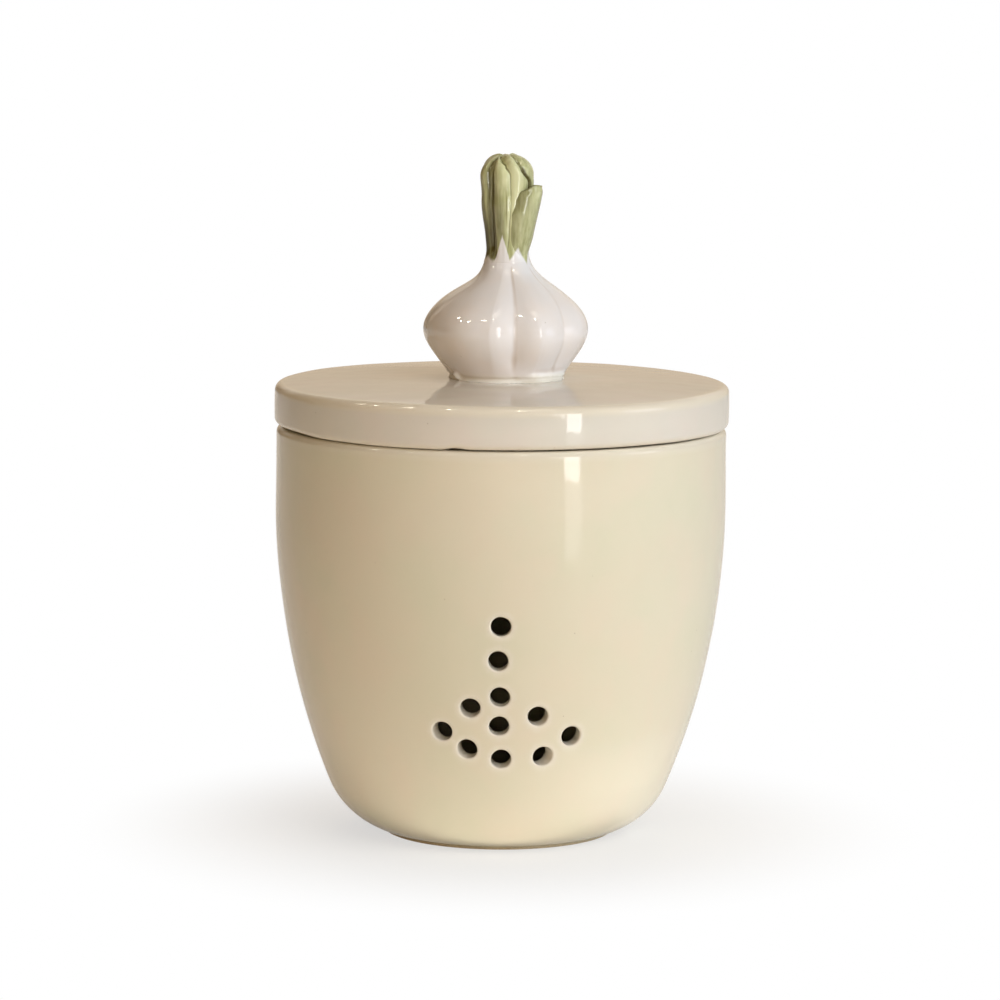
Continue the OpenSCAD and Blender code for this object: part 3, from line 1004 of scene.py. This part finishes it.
camera = bpy.data.objects.new("camera", bpy.data.cameras.new("camera"))
bpy.context.scene.collection.objects.link(camera)
bpy.context.scene.camera = camera
camera.data.sensor_width = SENSOR
camera.data.lens = FOCAL_LENGTH
camera.data.clip_start, camera.data.clip_end = 0.05, 50
back = Vector((0, -math.cos(CAMERA_TILT), math.sin(CAMERA_TILT)))
right = Vector((1, 0, 0))
up = Vector((0, math.sin(CAMERA_TILT), math.cos(CAMERA_TILT)))
rolled_right = math.cos(CAMERA_ROLL) * right + math.sin(CAMERA_ROLL) * up
rolled_up = math.cos(CAMERA_ROLL) * up - math.sin(CAMERA_ROLL) * right
camera.matrix_world = Matrix.Translation((AIM + back * CAMERA_DISTANCE) * MM) @ Matrix(
    (rolled_right, rolled_up, back)).transposed().to_4x4()


# ---------- studio ----------

def light_panel(name, width, tall, watts, tint, **seen):
    """A soft light panel, which the camera doesn't see. seen turns it off for another kind of ray."""
    data = bpy.data.lights.new(name, "AREA")
    data.shape = "RECTANGLE"
    data.size, data.size_y = width * MM, tall * MM
    data.energy = watts
    data.color = colour(tint)[:3]
    panel = bpy.data.objects.new(name, data)
    bpy.context.scene.collection.objects.link(panel)
    panel.visible_camera = False
    for rays, on in seen.items():
        setattr(panel, "visible_" + rays, on)
    return panel


def lamp(name, azimuth, distance, height, width, tall, watts, tint, aim_z=70.0, **seen):
    """A panel that faces the axis at the height aim_z"""
    panel = light_panel(name, width, tall, watts, tint, **seen)
    place = around(azimuth, distance, height)
    facing = (Vector((0, 0, aim_z)) - place).to_track_quat("-Z", "Y").to_matrix().to_4x4()
    panel.matrix_world = Matrix.Translation(place * MM) @ facing
    return panel


lamp("key_panel", 46, 1300, 800, 1400, 900, 10.9, "#F8FCFF", glossy=False)
lamp("near_panel", 25, 1300, 700, 900, 900, 3.7, "#FBFDFF", glossy=False)
lamp("side_panel", 70, 1300, 600, 900, 900, 3.3, "#D6ECFF", glossy=False)
lamp("front_fill", 5, 1200, 160, 900, 260, 1.6, "#FFEDCB", glossy=False)
lamp("room_lamp", -35, 1300, 400, 900, 700, 1.7, "#FFCE8D", glossy=False)
lamp("ceiling", 180, 350, 1500, 900, 900, 3.8, "#FFDEB0", glossy=False)
lamp("back_fill", 180, 1300, 700, 900, 700, 5.0, "#FFEFD8", glossy=False)

# What the glaze mirrors: a window with its foot, slivers and sill, a wide pane at the right, and the sky
WINDOW_DISTANCE = 361
PANE_SPLIT_Z = 190
WHITE = "#FFFFFF"

knob = bpy.data.collections.new("knob")
for piece in (bulb_piece, bundle_piece, leaf_piece):
    knob.objects.link(piece)


def pane(name, azimuth, low, high, width, watts):
    """An upright bright pane from one height to another, seen in the glaze only"""
    middle = (low + high) / 2
    return lamp(name, azimuth, WINDOW_DISTANCE, middle, width, high - low, watts, WHITE, aim_z=middle,
                diffuse=False)


def tall_pane(name, azimuth, low, high, width, watts):
    """A pane in two lengths. Only the knob shows the upper one, which would turn the flat top of the lid as
    white as the background."""
    for part, z0, z1 in (("low", low, PANE_SPLIT_Z), ("high", PANE_SPLIT_Z, high)):
        panel = pane(name + "_" + part, azimuth, z0, z1, width, watts * (z1 - z0) / (high - low))
        if part == "high":
            panel.light_linking.receiver_collection = knob


tall_pane("window_upper", 32.8, 81, 330, 48, 0.298)
tall_pane("window_sliver", 27.5, 110, 330, 9, 0.05)
tall_pane("window_corner", 24.5, 125, 335, 8, 0.04)
pane("window_foot", 34.2, 76, 81, 24, 0.003)
pane("window_sill", 33.8, 20.5, 75.5, 55, 0.015)
lamp("window_pane", 73, 700, 250, 320, 280, 0.7, "#EAEFFF", aim_z=250, diffuse=False)
lamp("skylight", 30, 300, 900, 260, 200, 0.5, "#FFF6E4", aim_z=120, diffuse=False)
# Small ceiling lamps, which the glaze shows as short bright lines along the lid's edge and as sparkles on the
# knob: azimuth, distance, height
CEILING_SPOTS = ((-36, 620, 1050), (-60, 700, 950), (14, 600, 1100), (-82, 780, 900), (-100, 800, 980))
for number, spot in enumerate(CEILING_SPOTS):
    lamp("ceiling_spot_%d" % number, *spot, 70, 70, 0.6, "#FFF2DC", aim_z=130, diffuse=False)


def card(name, x, y, width, deep, watts, tint):
    """A card that lies on the floor and throws light under the heel"""
    lift = 1.5
    panel = light_panel(name, width, deep, watts, tint, glossy=False)
    panel.matrix_world = Matrix.Translation(Vector((x, y, lift)) * MM) @ Matrix.Rotation(math.pi, 4, "X")


card("front_card", 20, -62, 300, 46, 0.0195, "#FFFAF4")
card("right_card", 82, -46, 90, 90, 0.012, "#E6F0FF")


def kinds_of_ray(tree):
    """1 for the rays that see the white background, the camera's and those through glass, and 1 for the rays
    that a gloss mirrors"""
    path = add(tree, "LightPath")
    ends = [(0, path["Is Camera Ray"]), (1, path["Is Transmission Ray"])]
    return add(tree, "Math", ends, operation="MAXIMUM")[0], path["Is Glossy Ray"]


def make_room():
    """The world: white to the camera. The glaze shows a pale backdrop behind the object, brighter above and
    with dim folds at its left, and a dim warm room in front."""
    world = bpy.data.worlds.new("room")
    bpy.context.scene.world = world
    world.use_nodes = True
    tree = world.node_tree
    tree.nodes.clear()
    ahead = add(tree, "TexCoord")["Generated"]
    to_right, to_back, to_top = add(tree, "SeparateXYZ", [(0, ahead)])
    direct, glossy = kinds_of_ray(tree)
    upright = add(tree, "Mapping", [(0, ahead), ("Scale", (1, 1, 0.12))])[0]
    folds = add(tree, "TexNoise", [("Vector", upright), ("Scale", 9)])["Fac"]
    dim = add(tree, "MapRange", [(0, folds), (1, 0.42), (2, 0.58), (3, 0.2), (4, 0.9)], **SOFT)[0]
    backdrop = lay_coats(tree, colour("#D6C3AA"), (
        (to_top, 0.15, 0.32, 0, 1, colour("#FBEEDC")),
        (to_right, -0.1, -0.4, 0, dim, colour("#5E4E42"))))
    room = lay_coats(tree, colour("#504330"), [(to_back, 0.3, 0.95, 0, glossy, backdrop)])
    sky = add(tree, "Mix", [(0, direct), (6, room), (7, colour(WHITE))], data_type="RGBA")[2]
    light = add(tree, "Background", [("Color", sky), ("Strength", 1.0)])[0]
    add(tree, "OutputWorld", [(0, light)])


def pale_sheet():
    """A matt pale sheet. To the camera it turns to plain white away from the object, and keeps the shadow
    near it. To the gloss it turns so by 0.4."""
    sheet, tree = new_material("pale_floor_sheet")
    place = add(tree, "TexCoord")["Object"]
    length = add(tree, "VectorMath", [(0, place)], operation="LENGTH")["Value"]
    away = add(tree, "MapRange", [(0, length), (1, 0.035), (2, 0.125), (3, 0.62), (4, 1)], **SOFT)[0]
    direct, glossy = kinds_of_ray(tree)
    faint = add(tree, "Math", [(0, glossy), (1, 0.4)], operation="MULTIPLY")[0]
    shown = add(tree, "Math", [(0, direct), (1, faint)], operation="MAXIMUM")[0]
    whitened = add(tree, "Math", [(0, away), (1, shown)], operation="MULTIPLY")[0]
    paper = add(tree, "BsdfDiffuse", [("Color", colour("#EFECE6"))])[0]
    white = add(tree, "Emission", [("Color", colour(WHITE)), ("Strength", 1.0)])[0]
    blend = add(tree, "MixShader", [(0, whitened), (1, paper), (2, white)])[0]
    add(tree, "OutputMaterial", [(0, blend)])
    return sheet


def lay_floor():
    """A disc of 2.5 m, with finer rings near the object, which lies a hair under the foot"""
    radius, rings, sides = 2.5, 12, 96
    points = [(0.0, 0.0, 0.0)]
    faces = []
    for i in range(1, rings + 1):
        points += [tuple(around(360 * j / sides, radius * (i / rings) ** 2, 0)) for j in range(sides)]
    for j in range(sides):
        k = (j + 1) % sides
        faces.append((0, 1 + j, 1 + k))
        for i in range(rings - 1):
            a, b = 1 + i * sides, 1 + (i + 1) * sides
            faces.append((a + j, b + j, b + k, a + k))
    mesh = bpy.data.meshes.new("floor")
    mesh.from_pydata(points, [], faces)
    mesh.materials.append(pale_sheet())
    floor = bpy.data.objects.new("floor", mesh)
    floor.location.z = -0.02 * MM
    bpy.context.scene.collection.objects.link(floor)


make_room()
lay_floor()
bpy.context.scene.view_settings.view_transform = "Standard"
